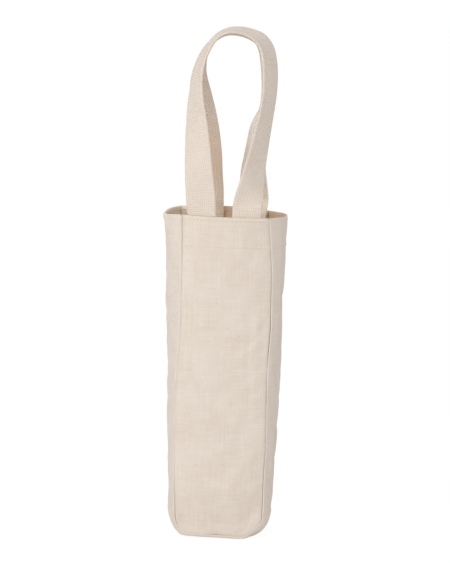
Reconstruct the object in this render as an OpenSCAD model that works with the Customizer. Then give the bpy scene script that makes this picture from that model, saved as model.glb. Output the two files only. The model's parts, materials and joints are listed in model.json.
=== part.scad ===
/* [Cloth] */
// Width of the front and back panels, seam to seam
panel_w = 80; // [70:1:100]
// Width of the gusset strip, seam to seam
gusset_w = 84; // [72:1:104]
// Height of the bag from the floor to its rim
bag_h = 280; // [240:1:340]
// Thickness of one ply of canvas
ply_t = 0.8; // [0.5:0.05:1]
// Rounding of the panels' two bottom corners
corner_r = 14; // [10:1:18]
// Height of the bottom seams above the floor
floor_lift = 4; // [3:0.5:6]
// Height over which a panel bows out from its bottom seam
toe_h = 45; // [30:1:70]

/* [Hem and seams] */
// Depth of the rim hem
hem_h = 27; // [22:1:34]
// Raw edge tucked under at the lower edge of the hem
hem_tuck = 6; // [4:1:10]
// Cloth left beyond the seams, turned in on the gusset
seam_allowance = 9; // [6:0.5:12]

/* [Handles] */
// Width of the webbing
webbing_w = 25.4; // [20:0.1:32]
// Thickness of the webbing
webbing_t = 2.2; // [1.6:0.1:2.8]
// Distance between the centres of a handle's two legs
leg_spacing = 40; // [34:1:46]
// Rise of a handle above the rim, to the middle of the webbing
handle_rise = 159; // [130:1:200]
// Webbing sewn down below the rim
sewn_l = 31; // [28:1:40]
// Height above the rim where a handle starts to fold over
fold_h = 10; // [8:0.5:14]
// Space between the two handles where they meet at the top
handle_gap = 0.8; // [0.6:0.1:2]

/* [Sewing thread] */
// Diameter of the sewing thread
thread_d = 0.6; // [0.4:0.05:0.8]
// Length of one stitch
stitch_l = 2.5; // [2:0.1:3.5]
// Distance from one stitch to the next
stitch_pitch = 3.4; // [3:0.1:5]
// Topstitch row, measured down from the rim
topstitch_drop = 3.5; // [2.5:0.5:6]
// Hem row, measured up from the lower edge of the hem
hem_row_rise = 1.5; // [1:0.25:3]

/* [Hidden] */

// Clearance between pieces sewn to each other
sewn_gap = 0.15;
// Clearance between a handle's loop and its sewn ends, where it folds
fold_gap = 0.3;
// Run of cloth over which a ply ends
ply_step = ply_t / 2;
// Plies added by the seam allowances
allowance_plies = 2;

// Seam-to-seam distance as a share of the cloth's width, from the floor up to the rim
panel_chord_shares = [0.972, 0.982, 0.987, 0.98, 0.963];
gusset_chord_shares = [0.983, 0.973, 0.961, 0.944, 0.905];
// How full a bow is: 2 is a parabola, more is flatter in the middle
panel_fullness = 2.6;
gusset_fullness = 2;
// Places across the gusset, from its middle to a seam, as shares of its half width
floor_flat_share = 0.7;
gusset_mid_shares = [0, 0.2, 0.45, floor_flat_share];
gusset_edge_share = 0.94;

panel_columns = 14;
body_rows = 11;
corner_rows = 6;
webbing_columns = 4;
sewn_rows = 6;
knot_steps = 4;

canvas_color = "#e3d8ca";
webbing_color = "#e4dbd0";
thread_color = "#efe8dc";

// A smooth value between evenly spaced knots, for place 0 to 1 along them
function spline(knots, place) =
    let (
        last = len(knots) - 1,
        at = max(0, min(place, 1)) * last,
        i = min(floor(at), last - 1),
        t = at - i,
        b = knots[i],
        c = knots[i + 1],
        a = i > 0 ? knots[i - 1] : 2 * b - c,
        d = i + 2 <= last ? knots[i + 2] : 2 * c - b
    )
    b + t * (c - a) / 2 + t * t * (2 * a - 5 * b + 4 * c - d) / 2
        + t * t * t * (3 * b - a - 3 * c + d) / 2;

function smooth(x) = let (t = max(0, min(x, 1))) t * t * (3 - 2 * t);
function unit(v) = v / norm(v);

// Cloth of a given width bows out when its seams are drawn together. Its width stays,
// so for a shallow arc the crown follows from the share that is left of the chord.
function crown(width, chord_share) = width * sqrt(6 * (1 - chord_share)) / 4;

function height_share(z) = z / bag_h;
function panel_half(z) = panel_w * spline(panel_chord_shares, height_share(z)) / 2;
function gusset_half(z) = gusset_w * spline(gusset_chord_shares, height_share(z)) / 2;
function panel_crown(z) =
    crown(panel_w, spline(panel_chord_shares, height_share(z))) * smooth((z - floor_lift) / toe_h);
function gusset_crown(z) = crown(gusset_w, spline(gusset_chord_shares, height_share(z)));

// Rows of the cloth from the rim down: height and number of plies
corner_top = floor_lift + corner_r;
hem_bottom = bag_h - hem_h;
tuck_top = hem_bottom + hem_tuck;
body_top = hem_bottom - ply_step;
rows = concat(
    [[bag_h, 2], [tuck_top, 2], [tuck_top - ply_step, 3], [hem_bottom, 3]],
    [for (i = [0 : body_rows]) [body_top + (corner_top - body_top) * i / body_rows, 1]],
    [for (i = [1 : corner_rows]) [corner_top - corner_r * sin(90 * i / corner_rows), 1]]
);
last_row = len(rows) - 1;

// Half the length of a panel's row, drawn in by the rounded bottom corner
function row_half(z) =
    let (below = max(0, min(corner_top - z, corner_r)))
    panel_half(z) - corner_r + sqrt(corner_r * corner_r - below * below);

// A panel's outer face at height z and across share u, from -1 at one seam to 1 at the other
function panel_point(side, z, u) = [
    u * row_half(z),
    side * (gusset_half(z) + panel_crown(z) * (1 - pow(abs(u), panel_fullness))),
    z
];

// Outward direction of the gusset where it meets a panel at a row's end
function gusset_normal(end, z) =
    z >= corner_top ? [end, 0, 0] :
    let (below = min(corner_top - z, corner_r))
    [end * sqrt(corner_r * corner_r - below * below), 0, -below] / corner_r;

// The seam from the rim, down one side, along the floor and up the other side.
// Each stop holds x, z, the outward direction of the gusset and the number of plies.
seam = concat(
    [for (i = [0 : last_row]) let (z = rows[i][0])
        [-row_half(z), z, gusset_normal(-1, z), rows[i][1]]],
    [for (j = [1 : panel_columns - 1])
        [(2 * j / panel_columns - 1) * row_half(floor_lift), floor_lift, [0, 0, -1], 1]],
    [for (i = [last_row : -1 : 0]) let (z = rows[i][0])
        [row_half(z), z, gusset_normal(1, z), rows[i][1]]]
);

// Places across the gusset strip, from the back seam to the front seam
allowance_share = 1 - seam_allowance / (gusset_w / 2);
allowance_end_share = allowance_share + ply_step / (gusset_w / 2);
gusset_half_shares = concat(
    gusset_mid_shares, [allowance_share, allowance_end_share, gusset_edge_share, 1]);
gusset_places = concat(
    [for (i = [len(gusset_half_shares) - 1 : -1 : 0]) gusset_half_shares[i]],
    [for (i = [1 : len(gusset_half_shares) - 1]) -gusset_half_shares[i]]
);

// The gusset bows out between its seams, and on the floor it lies flat up to its edges
function gusset_bow(stop, place) =
    let (
        floored = -stop[2][2],
        edge = max(0, (abs(place) - floor_flat_share) / (1 - floor_flat_share)),
        side_bow = gusset_crown(stop[1]) * (1 - pow(abs(place), gusset_fullness)),
        floor_bow = floor_lift * (1 - edge * edge)
    )
    (1 - floored) * side_bow + floored * floor_bow;
function gusset_point(stop, place) =
    [stop[0], place * gusset_half(stop[1]), stop[1]] + stop[2] * gusset_bow(stop, place);
function gusset_plies(stop, place) =
    stop[3] + (abs(place) >= allowance_end_share ? allowance_plies : 0);

// Inner faces. At a seam the two cloths share one mitred edge.
function gusset_inner(stop, place) =
    let (mitre = abs(place) == 1 ? -place * ply_t * stop[3] : 0)
    gusset_point(stop, place) + [0, mitre, 0] - stop[2] * ply_t * gusset_plies(stop, place);
function panel_inner(side, i, u) =
    let (
        z = rows[i][0],
        plies = rows[i][1],
        at_seam = abs(u) == 1 || i == last_row,
        outward = i == last_row ? [0, 0, -1] : gusset_normal(sign(u), z)
    )
    panel_point(side, z, u) - [0, side * ply_t * plies, 0]
        - (at_seam ? outward * ply_t * (plies + allowance_plies) : [0, 0, 0]);

function quad(a, b, c, d) = [[a, b, c], [a, c, d]];

// One closed solid from the grids of a sheet's outer and inner faces
module sheet(outer, inner) {
    n = len(outer[0]);
    m = len(outer);
    half = m * n;
    points = concat([for (row = outer) each row], [for (row = inner) each row]);
    faces = concat(
        [for (i = [0 : m - 2], j = [0 : n - 2]) each
            quad(i * n + j, i * n + j + 1, i * n + n + j + 1, i * n + n + j)],
        [for (i = [0 : m - 2], j = [0 : n - 2]) each
            quad(half + i * n + j, half + i * n + n + j, half + i * n + n + j + 1, half + i * n + j + 1)],
        [for (j = [0 : n - 2]) each quad(j + 1, j, half + j, half + j + 1)],
        [for (j = [0 : n - 2], k = (m - 1) * n + j) each quad(k, k + 1, half + k + 1, half + k)],
        [for (i = [0 : m - 2], k = i * n) each quad(k, k + n, half + k + n, half + k)],
        [for (i = [0 : m - 2], k = i * n + n - 1) each quad(k + n, k, half + k, half + k + n)]
    );
    polyhedron(points, faces, convexity = 6);
}

// One closed solid from a row of rings
module tube(rings) {
    n = len(rings[0]);
    m = len(rings);
    polyhedron(
        [for (ring = rings) each ring],
        concat(
            [for (i = [0 : m - 2], j = [0 : n - 1]) each
                quad(i * n + j, i * n + (j + 1) % n, i * n + n + (j + 1) % n, i * n + n + j)],
            [[for (j = [n - 1 : -1 : 0]) j]],
            [[for (j = [0 : n - 1]) (m - 1) * n + j]]
        ),
        convexity = 6
    );
}

module panel(side) {
    across = [for (j = [0 : panel_columns]) -side * (2 * j / panel_columns - 1)];
    sheet(
        [for (row = rows) [for (u = across) panel_point(side, row[0], u)]],
        [for (i = [0 : last_row]) [for (u = across) panel_inner(side, i, u)]]
    );
}

module front_panel() {
    color(canvas_color) panel(-1);
}

module back_panel() {
    color(canvas_color) panel(1);
}

module gusset_strip() {
    color(canvas_color)
        sheet(
            [for (stop = seam) [for (place = gusset_places) gusset_point(stop, place)]],
            [for (stop = seam) [for (place = gusset_places) gusset_inner(stop, place)]]
        );
}

// The face of the hem that the webbing lies on, for a place x across a panel.
// Above the rim the webbing leaves it and turns flat for its fold.
function hem_plies(z) = 2 + smooth((tuck_top + hem_tuck - z) / hem_tuck);
function wall_y(x, z) =
    -panel_point(-1, z, x / row_half(z))[1] - ply_t * hem_plies(z) - sewn_gap;
// Centres of a handle's two legs, kept clear of a narrow panel's seams
leg_span = min(leg_spacing, panel_w - webbing_w - 8);
fold_y = wall_y(leg_span / 2, bag_h);
fold_z = bag_h + fold_h;
function sewn_y(x, z) =
    z <= bag_h ? wall_y(x, z) :
    let (turned = smooth((z - bag_h) / (fold_h - fold_gap)))
    wall_y(x, bag_h) * (1 - turned) + fold_y * turned;

// Two sewn ends, each from below the hem up to the fold
sewn_end_z = fold_z - fold_gap / 2;
sewn_heights = concat(
    [for (i = [0 : sewn_rows]) sewn_end_z + (bag_h - sewn_end_z) * i / sewn_rows],
    [for (i = [1 : sewn_rows]) bag_h - sewn_l * i / sewn_rows]
);
module handle_ends() {
    for (leg = [-1, 1]) {
        across = [for (j = [0 : webbing_columns])
            leg * leg_span / 2 + webbing_w * (j / webbing_columns - 1 / 2)];
        sheet(
            [for (z = sewn_heights) [for (x = across) [x, -sewn_y(x, z), z]]],
            [for (z = sewn_heights) [for (x = across) [x, webbing_t - sewn_y(x, z), z]]]
        );
    }
}

// Middle line of a handle, leg to leg. Across it is a share of half the leg spacing,
// inward a share of the way to the plane where the handles meet, up a share of the rise.
// The last value is how far the webbing has turned from facing forward, in degrees.
// The back handle turns later, so it shows inside the front one.
fold_share = fold_h / handle_rise;
front_knot_shares = [
    [-1, 0, fold_share, 0],
    [-1.03, 0.03, 0.13, 4],
    [-1.14, 0.19, 0.29, 21],
    [-1.25, 0.4, 0.465, 38],
    [-1.34, 0.57, 0.615, 56],
    [-1.3, 0.71, 0.74, 69],
    [-1.13, 0.82, 0.835, 75],
    [-0.85, 0.9, 0.91, 79],
    [-0.51, 0.96, 0.965, 82],
    [-0.07, 1, 0.995, 82],
    [0.43, 1, 1, 80],
    [0.93, 0.99, 0.985, 76],
    [1.33, 0.96, 0.958, 70],
    [1.64, 0.9, 0.908, 67],
    [1.8, 0.82, 0.838, 65],
    [1.86, 0.72, 0.75, 65],
    [1.84, 0.61, 0.652, 66],
    [1.74, 0.5, 0.557, 65],
    [1.58, 0.39, 0.462, 61],
    [1.42, 0.28, 0.365, 56],
    [1.28, 0.17, 0.268, 48],
    [1.13, 0.05, 0.155, 30],
    [1, 0, fold_share, 0]
];
back_knot_shares = [
    [-1, 0, fold_share, 0],
    [-0.97, 0.03, 0.13, 2],
    [-0.98, 0.19, 0.29, 6],
    [-1.12, 0.4, 0.465, 21],
    [-1.3, 0.57, 0.615, 41],
    [-1.39, 0.71, 0.74, 64],
    [-1.27, 0.82, 0.832, 77],
    [-1, 0.9, 0.905, 84],
    [-0.57, 0.96, 0.955, 87],
    [-0.1, 1, 0.975, 88],
    [0.39, 1, 0.974, 86],
    [0.86, 0.99, 0.958, 83],
    [1.22, 0.96, 0.932, 78],
    [1.47, 0.9, 0.886, 71],
    [1.61, 0.82, 0.825, 66],
    [1.67, 0.72, 0.74, 65],
    [1.67, 0.61, 0.647, 66],
    [1.58, 0.5, 0.553, 62],
    [1.28, 0.39, 0.46, 53],
    [1.17, 0.28, 0.364, 46],
    [1.08, 0.17, 0.268, 37],
    [1.02, 0.05, 0.155, 15],
    [1, 0, fold_share, 0]
];
loop_start_y = webbing_t / 2 - fold_y;
loop_meet_y = -(webbing_w + handle_gap) / 2;
function loop_point(knots, place) =
    let (knot = spline(knots, place))
    [
        knot[0] * leg_span / 2,
        loop_start_y + knot[1] * (loop_meet_y - loop_start_y),
        bag_h + knot[2] * handle_rise
    ] + (place == 0 || place == 1 ? [0, 0, fold_gap / 2] : [0, 0, 0]);

// Ring of the webbing: its edges are rounded over by a third of its thickness
webbing_edge = webbing_t / 3;
webbing_outline = [
    for (s = [[1, 1], [1, -1], [-1, -1], [-1, 1]]) each
        let (
            flat = [s[0] * (webbing_w / 2 - webbing_edge), s[1] * webbing_t / 2],
            edge = [s[0] * webbing_w / 2, s[1] * (webbing_t / 2 - webbing_edge)]
        )
        s[0] == s[1] ? [flat, edge] : [edge, flat]
];
function webbing_ring(knots, place, step) =
    let (
        centre = loop_point(knots, place),
        along = place == 0 ? [0, 0, 1] : place == 1 ? [0, 0, -1] :
            unit(loop_point(knots, place + step) - loop_point(knots, place - step)),
        turn = spline(knots, place)[3],
        outside = unit([-along[2], 0, along[0]]),
        raw = outside * cos(turn) + [0, sin(turn), 0],
        across = unit(raw - along * (raw * along)),
        face = cross(along, across)
    )
    [for (p = webbing_outline) centre + p[0] * across + p[1] * face];

module handle_loop(knots) {
    steps = (len(knots) - 1) * knot_steps;
    tube([for (i = [0 : steps]) webbing_ring(knots, i / steps, 1 / steps)]);
}

module front_handle_loop() {
    color(webbing_color) handle_loop(front_knot_shares);
}

module front_handle_ends() {
    color(webbing_color) handle_ends();
}

module back_handle_loop() {
    color(webbing_color) mirror([0, 1, 0]) handle_loop(back_knot_shares);
}

module back_handle_ends() {
    color(webbing_color) mirror([0, 1, 0]) handle_ends();
}

// One stitch on the outside of the cloth, between two points of its row
thread_gap = thread_d / 12;
module stitch(from, to) {
    along = to - from;
    outward = unit([along[1], -along[0], 0]);
    translate((from + to) / 2 + outward * (thread_d / 2 + thread_gap))
        rotate([0, 90, atan2(along[1], along[0])])
            cylinder(d = thread_d, h = stitch_l, center = true, $fn = 16);
}

// A row of stitches right round the bag at one height, seen from above counter-clockwise
module stitch_row(z) {
    panel_n = round(panel_w / stitch_pitch);
    gusset_n = round(gusset_w / stitch_pitch);
    half_step = stitch_l / stitch_pitch / 2;
    for (side = [-1, 1]) {
        for (i = [0 : panel_n - 1]) {
            u = [for (s = [-1, 1]) -side * (2 * (i + 1 / 2 + s * half_step) / panel_n - 1)];
            stitch(panel_point(side, z, u[0]), panel_point(side, z, u[1]));
        }
        stop = [side * row_half(z), z, [side, 0, 0], 1];
        for (i = [0 : gusset_n - 1]) {
            t = [for (s = [-1, 1]) side * (2 * (i + 1 / 2 + s * half_step) / gusset_n - 1)];
            stitch(gusset_point(stop, t[0]), gusset_point(stop, t[1]));
        }
    }
}

module rim_topstitch() {
    color(thread_color) stitch_row(bag_h - topstitch_drop);
}

module hem_stitch() {
    color(thread_color) stitch_row(hem_bottom + hem_row_rise);
}

// The thread of a seam binds the edge of the turned-in allowances, inside on the gusset.
// Its middle is a whole diameter off, because the gusset slopes towards the seam.
function seam_thread_point(side, k) =
    gusset_inner(seam[k], side * allowance_end_share) - seam[k][2] * thread_d;
function thread_ring(side, k) =
    let (
        last = len(seam) - 1,
        centre = seam_thread_point(side, k),
        along = unit(seam_thread_point(side, min(k + 1, last)) - seam_thread_point(side, max(k - 1, 0))),
        across = unit(cross(along, [0, 1, 0]))
    )
    [for (a = [0 : 60 : 300]) centre + thread_d / 2 * (across * cos(a) - cross(along, across) * sin(a))];
module seam_thread(side) {
    tube([for (k = [0 : len(seam) - 1]) thread_ring(side, k)]);
}

module front_seam_thread() {
    color(thread_color) seam_thread(-1);
}

module back_seam_thread() {
    color(thread_color) seam_thread(1);
}

front_panel();
back_panel();
gusset_strip();
front_handle_loop();
front_handle_ends();
back_handle_loop();
back_handle_ends();
rim_topstitch();
hem_stitch();
front_seam_thread();
back_seam_thread();
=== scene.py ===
import json
import math

import bmesh
import bpy
import numpy as np
from mathutils import Matrix, Vector, noise
from mathutils.kdtree import KDTree

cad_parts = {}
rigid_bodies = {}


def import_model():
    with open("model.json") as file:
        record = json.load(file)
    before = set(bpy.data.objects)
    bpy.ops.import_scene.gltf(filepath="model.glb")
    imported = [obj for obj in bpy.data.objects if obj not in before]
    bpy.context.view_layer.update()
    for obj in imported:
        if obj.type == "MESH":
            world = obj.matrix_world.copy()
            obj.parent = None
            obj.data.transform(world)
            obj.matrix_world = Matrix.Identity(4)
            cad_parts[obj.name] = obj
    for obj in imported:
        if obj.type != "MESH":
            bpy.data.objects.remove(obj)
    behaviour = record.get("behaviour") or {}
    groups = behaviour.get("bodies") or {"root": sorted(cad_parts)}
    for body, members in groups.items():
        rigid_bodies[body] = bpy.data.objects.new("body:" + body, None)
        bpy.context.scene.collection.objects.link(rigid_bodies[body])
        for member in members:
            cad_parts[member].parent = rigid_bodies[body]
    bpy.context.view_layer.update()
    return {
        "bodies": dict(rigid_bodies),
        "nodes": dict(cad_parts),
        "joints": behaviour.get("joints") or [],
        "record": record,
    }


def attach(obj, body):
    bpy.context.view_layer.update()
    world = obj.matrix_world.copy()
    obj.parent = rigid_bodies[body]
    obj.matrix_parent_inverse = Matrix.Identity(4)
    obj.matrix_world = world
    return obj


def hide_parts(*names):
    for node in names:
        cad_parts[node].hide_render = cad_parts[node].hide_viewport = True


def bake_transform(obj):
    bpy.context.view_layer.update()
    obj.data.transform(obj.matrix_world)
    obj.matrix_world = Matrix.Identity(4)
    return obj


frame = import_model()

MM = 0.001

# The carrier's sizes, in metres, as the solids have them
PANEL_WIDTH = 80 * MM
GUSSET_WIDTH = 84 * MM
BAG_HEIGHT = 280 * MM
CORNER_RADIUS = 14 * MM
FLOOR_LIFT = 4 * MM
TOE_HEIGHT = 45 * MM
HEM_DEPTH = 27 * MM
WEBBING_WIDTH = 25.4 * MM
WEBBING_THICKNESS = 2.2 * MM
LEG_SPACING = 40 * MM
HANDLE_RISE = 159 * MM
SEWN_LENGTH = 31 * MM
FOLD_HEIGHT = 10 * MM
HANDLE_GAP = 0.8 * MM
PANEL_SHARES = [0.972, 0.982, 0.987, 0.98, 0.963]
GUSSET_SHARES = [0.983, 0.973, 0.961, 0.944, 0.905]
PANEL_FULLNESS = 2.6
FLOOR_FLAT_SHARE = 0.95

# The cloth as it is cut, with its seam allowances and its hem
SEAM_ALLOWANCE = 9 * MM
PLY = 0.75 * MM
SEAM_RADIUS = 0.85 * MM
RIM_RADIUS = 1.0 * MM
THREAD = 0.55 * MM
STITCH = 2.5 * MM
STITCH_PITCH = 3.4 * MM
TOPSTITCH_DROP = 3.5 * MM
HEM_ROW_DROP = 25.5 * MM

# How finely the cloth is divided
PANEL_COLUMNS = 28
GUSSET_COLUMNS = 26
HEM_ROWS = 9
BODY_ROWS = 80
CORNER_ROWS = 8
FLANGE_COLUMNS = 3
ROLL_STEPS = 4
RIM_STEPS = 3
TUCK_ROWS = 3
TUCK_TURNS = (45, 90, 135)
HEM_EXTRA = TUCK_ROWS + len(TUCK_TURNS) + HEM_ROWS + 1 + RIM_STEPS

# The seams: how the cloth rolls in, and the groove that it leaves
ROLL_IN = (0.35, 0.7, 1.0)
UNDER_PANEL = 2 * SEAM_RADIUS + PLY + 0.1 * MM
SIDE_GAP = 0.4 * MM
BOTTOM_GAP = 1.1 * MM
DARKEST_GROOVE = 0.8 * MM
BOTTOM_SHADES = (0.12, 0.7, 0.9)
# How far the gusset's cloth lies from the panels' in the weave's pattern
GUSSET_ASIDE = 0.2
UP = np.array([0.0, 0.0, 1.0])

# The floor's columns crowd towards its seams, and the shell settles a little as cloth
FLOOR_CROWDING = 0.6
SETTLING_STEPS = 24
FARTHEST_SETTLED = 1.3 * MM
SEAM_HELD, CLOTH_HELD = 0.55, 0.12
# The oversewing thread goes between these columns in from the gusset's edge
OVERLOCK_INNER, OVERLOCK_OUTER = 1.9, 3.12
OVERLOCK_PITCH = 2.6 * MM
OVERLOCK_RADIUS = 0.22 * MM
CHAIN_RADIUS = 0.26 * MM
THREAD_SIDES = 5


def spline(knots, place):
    """A smooth value between evenly spaced knots, for place 0 to 1"""
    last = len(knots) - 1
    at = max(0.0, min(place, 1.0)) * last
    i = min(int(at), last - 1)
    t = at - i
    b, c = np.array(knots[i], float), np.array(knots[i + 1], float)
    a = np.array(knots[i - 1], float) if i > 0 else 2 * b - c
    d = np.array(knots[i + 2], float) if i + 2 <= last else 2 * c - b
    cubic = 3 * b - a - 3 * c + d
    square = 2 * a - 5 * b + 4 * c - d
    return b + t * (c - a) / 2 + t * t * square / 2 + t * t * t * cubic / 2


def smooth(x):
    x = max(0.0, min(x, 1.0))
    return x * x * (3 - 2 * x)


def ramp(value, start, length):
    """A smooth rise from 0 to 1, which begins at start and takes length"""
    return smooth((value - start) / length)


def hump(value, middle, half_width):
    return math.exp(-(((value - middle) / half_width) ** 2))


def between(knots, at):
    """Straight lines through pairs of (place, value)"""
    return float(np.interp(at, [k[0] for k in knots], [k[1] for k in knots]))


def unit(v):
    return v / max(float(np.linalg.norm(v)), 1e-12)


def evenly(count):
    """Places from -1 to 1, with count steps between them"""
    return [2 * k / count - 1 for k in range(count + 1)]


def crown(width, share):
    """How far cloth of this width bows out when its seams are drawn together"""
    return width * math.sqrt(6 * (1 - share)) / 4


def share_at(shares, z):
    """How much of its flat width a cloth spans between its seams, at a height"""
    return float(spline(shares, z / BAG_HEIGHT))


def panel_half(z):
    return PANEL_WIDTH * share_at(PANEL_SHARES, z) / 2


def gusset_half(z):
    return GUSSET_WIDTH * share_at(GUSSET_SHARES, z) / 2


def panel_crown(z):
    return crown(PANEL_WIDTH, share_at(PANEL_SHARES, z)) * ramp(z, FLOOR_LIFT, TOE_HEIGHT)


CORNER_TOP = FLOOR_LIFT + CORNER_RADIUS


def corner_level(z):
    """How far out the rounded bottom corner has come at height z, and how far below"""
    below = max(0.0, min(CORNER_TOP - z, CORNER_RADIUS))
    return math.sqrt(CORNER_RADIUS**2 - below**2), below


def row_half(z):
    """Half a panel's width at height z, drawn in by its rounded bottom corners"""
    return panel_half(z) - CORNER_RADIUS + corner_level(z)[0]


def panel_place(side, u, z):
    bow = panel_crown(z) * (1 - abs(u) ** PANEL_FULLNESS)
    return np.array([u * row_half(z), side * (gusset_half(z) + bow), z])


def gusset_place(stop, place):
    """A place across the gusset at a stop of the seam: x, z and outward direction"""
    x, z, outward = stop
    floored = -outward[2]
    place += FLOOR_CROWDING * floored * (math.sin(math.pi / 2 * place) - place)
    edge = max(0.0, (abs(place) - FLOOR_FLAT_SHARE) / (1 - FLOOR_FLAT_SHARE))
    bow = (1 - floored) * crown(GUSSET_WIDTH, share_at(GUSSET_SHARES, z)) * (1 - place**2)
    bow += floored * FLOOR_LIFT * (1 - edge**2)
    return np.array([x, place * gusset_half(z), z]) + outward * bow


def cloth_heights():
    """Heights of the cloth's rows, from the rim down to the bottom seam"""
    hem_bottom = BAG_HEIGHT - HEM_DEPTH
    hem = [BAG_HEIGHT - HEM_DEPTH * i / HEM_ROWS for i in range(1, HEM_ROWS + 1)]
    step = (CORNER_TOP - hem_bottom) / BODY_ROWS
    body = [hem_bottom + step * i for i in range(1, BODY_ROWS + 1)]
    turns = [math.pi / 2 * i / CORNER_ROWS for i in range(1, CORNER_ROWS + 1)]
    corner = [CORNER_TOP - CORNER_RADIUS * math.sin(turn) for turn in turns]
    return [BAG_HEIGHT - RIM_RADIUS] + hem + body + corner


HEIGHTS = cloth_heights()
LAST_ROW = len(HEIGHTS) - 1


def seam_stops():
    """The seam from the rim down, along the floor and up again: x, z, outward"""

    def side_stop(end, z):
        level, below = corner_level(z)
        return end * row_half(z), z, np.array([end * level, 0.0, -below]) / CORNER_RADIUS

    down = [side_stop(-1, z) for z in HEIGHTS]
    half = row_half(FLOOR_LIFT)
    floor = [(u * half, FLOOR_LIFT, -UP) for u in evenly(PANEL_COLUMNS)[1:-1]]
    return down + floor + [side_stop(1, z) for z in reversed(HEIGHTS)]


STOPS = seam_stops()
LAST_STOP = len(STOPS) - 1


def panel_grid(side):
    return np.array([[panel_place(side, u, z) for u in evenly(PANEL_COLUMNS)] for z in HEIGHTS])


def gusset_grid():
    places = evenly(GUSSET_COLUMNS)
    return np.array([[gusset_place(stop, place) for place in places] for stop in STOPS])


# How the standing bag departs from its even form: it leans, its seams wander
# and its mouth is pulled askew. Pairs of height and sideways move, in mm.
LEAN = [(0, -1.6), (90, -0.9), (180, -0.2), (280, 0.6)]
LEFT_SEAM = [
    (0, 0.6), (12, 1.6), (40, 0.8), (100, 0.4), (120, -0.3), (150, 1.3), (170, 3.6), (208, 3),
    (234, 2.7), (260, 1.4), (280, 1)
]
LEFT_SIDE = [(200, 0), (234, 1.4), (262, 3.2), (280, 1.8)]
LEFT_TRIM = [(0, 2), (60, 1.9), (150, 1.3), (208, -0.4), (234, 0), (258, 0.8), (280, 0.4)]
RIGHT_TRIM = [(0, -0.5), (25, -0.2), (38, 0.2), (164, 0.2), (208, -0.5), (280, -0.5)]
RIGHT_SEAM = [
    (0, 2), (15, 3), (35, 2.8), (51, 2.4), (77, 3.6), (103, 3), (150, 2.4), (182, 5.1),
    (208, 4.9), (234, 5.6), (260, 4), (280, 2)
]


# The left lip runs straight out of the front seam and then slants back. Pairs of
# the place from front to back, as a share of LIP_HALF, and the move in mm.
LIP_HALF = 38
LEFT_LIP_X = [
    (-0.3, 0), (0, 0.3), (0.14, 1.5), (0.29, 2.5), (0.43, 3.7), (0.57, 4.2), (0.71, 3.5),
    (0.86, 2.6), (1, 0)
]
LEFT_LIP_Y = [
    (-0.43, 0), (-0.29, -3), (-0.14, -7), (0, -8), (0.14, -6), (0.29, -5), (0.43, -4),
    (0.57, -2), (0.71, 0)
]


def parts_of_bag(x, y):
    """How far a place, in mm, belongs to the front, back, left and right"""
    return ramp(-y, 8, 26), ramp(y, -20, 50), ramp(-x, -6, 60), ramp(x, -6, 60)


def seam_moves(x, y, z):
    """The bag's lean and its wandering seams, in mm"""
    front, _, left, right = parts_of_bag(x, y)
    dx = between(LEAN, z)
    dx += front * (left * between(LEFT_SEAM, z) + right * between(RIGHT_SEAM, z))
    middle = 1 - smooth(abs(y) / 32)
    dx += middle * (left * between(LEFT_TRIM, z) + right * between(RIGHT_TRIM, z))
    low_back_ear = hump(z, 10, 7) * ramp(y, 22, 14)
    return np.array([dx + 4.5 * low_back_ear * right, 0, 0])


def mouth_moves(x, y, z):
    """The mouth, which is pulled askew and has a slanted left lip, in mm"""
    front, behind, left, right = parts_of_bag(x, y)
    mouth = ramp(z, 190, 90)
    bowed = ramp(abs(x), 37, 16)
    past_seam = ramp(-x, 34, 5)
    side = past_seam * max(0, 1 - (y / 42) ** 2)
    dx = bowed * hump(y, 25, 11) * (2.4 * right - 2.6 * left)
    dx -= 7 * behind * left + right * (1.2 + 1.8 * ramp(y, 10, 20))
    dy = 3 * behind * (left - right) - 17 * side
    dz = left * (1 + 0.5 * behind + 0.8 * front * (1 - bowed)) + 1.4 * behind * (1 - right)
    dz += front * (0.6 + 0.7 * max(0, 1 - abs(x) / 38))
    dz += 0.9 * behind * max(0, 1 - abs(x) / 32)
    move = mouth * np.array([dx, dy, dz])
    move[0] += side * between(LEFT_SIDE, z)
    lip = mouth**3 * past_seam
    move[0] += lip * between(LEFT_LIP_X, y / LIP_HALF)
    move[1] += lip * between(LEFT_LIP_Y, y / LIP_HALF)
    back_left_corner = mouth * ramp(y, 24, 12) * ramp(-x, 30, 9)
    return move + back_left_corner * np.array([-2.1, 7.5, -0.9])


def bottom_moves(x, y, z):
    """The bottom's front corners, in mm: the left one squarer, the right one cut across"""
    front, _, _, right = parts_of_bag(x, y)
    low = 1 - ramp(z, 4, 14)
    in_front = ramp(-y, 28, 12)
    foot = in_front * (1 - smooth(z / 30))
    off_floor = min(1, z / 4)
    level_part = 1 - ramp(abs(x), 20, 14)
    inside = max(0, min(1, 1 - (-x - 25) / 14))
    cut = in_front * low * hump(x, 34, 8)
    dx = -3 * front * low * inside * ramp(-x, 8, 17) - 3.4 * cut
    dy = -1.4 * in_front * level_part * max(0, 1 - ((z - 1) / 3) ** 2)
    dz = foot * (off_floor * (0.9 - 0.8 * right) + 1.5 * ramp(-x, -34, 62)) + 1.9 * cut
    dz -= 3 * in_front * low * off_floor * level_part
    return np.array([dx, dy, dz])


def settled(point):
    """Where a point of the even form lies on the bag as it stands"""
    x, y, z = (float(v) / MM for v in point)
    moves = seam_moves(x, y, z) + mouth_moves(x, y, z) + bottom_moves(x, y, z)
    return point + moves * MM


def settled_grid(grid):
    return np.array([settled(p) for p in grid.reshape(-1, 3)]).reshape(grid.shape)


def grid_normals(grid, flip):
    normal = np.cross(np.gradient(grid, axis=0), np.gradient(grid, axis=1)) * flip
    length = np.linalg.norm(normal, axis=2, keepdims=True)
    return normal / np.maximum(length, 1e-12)


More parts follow.
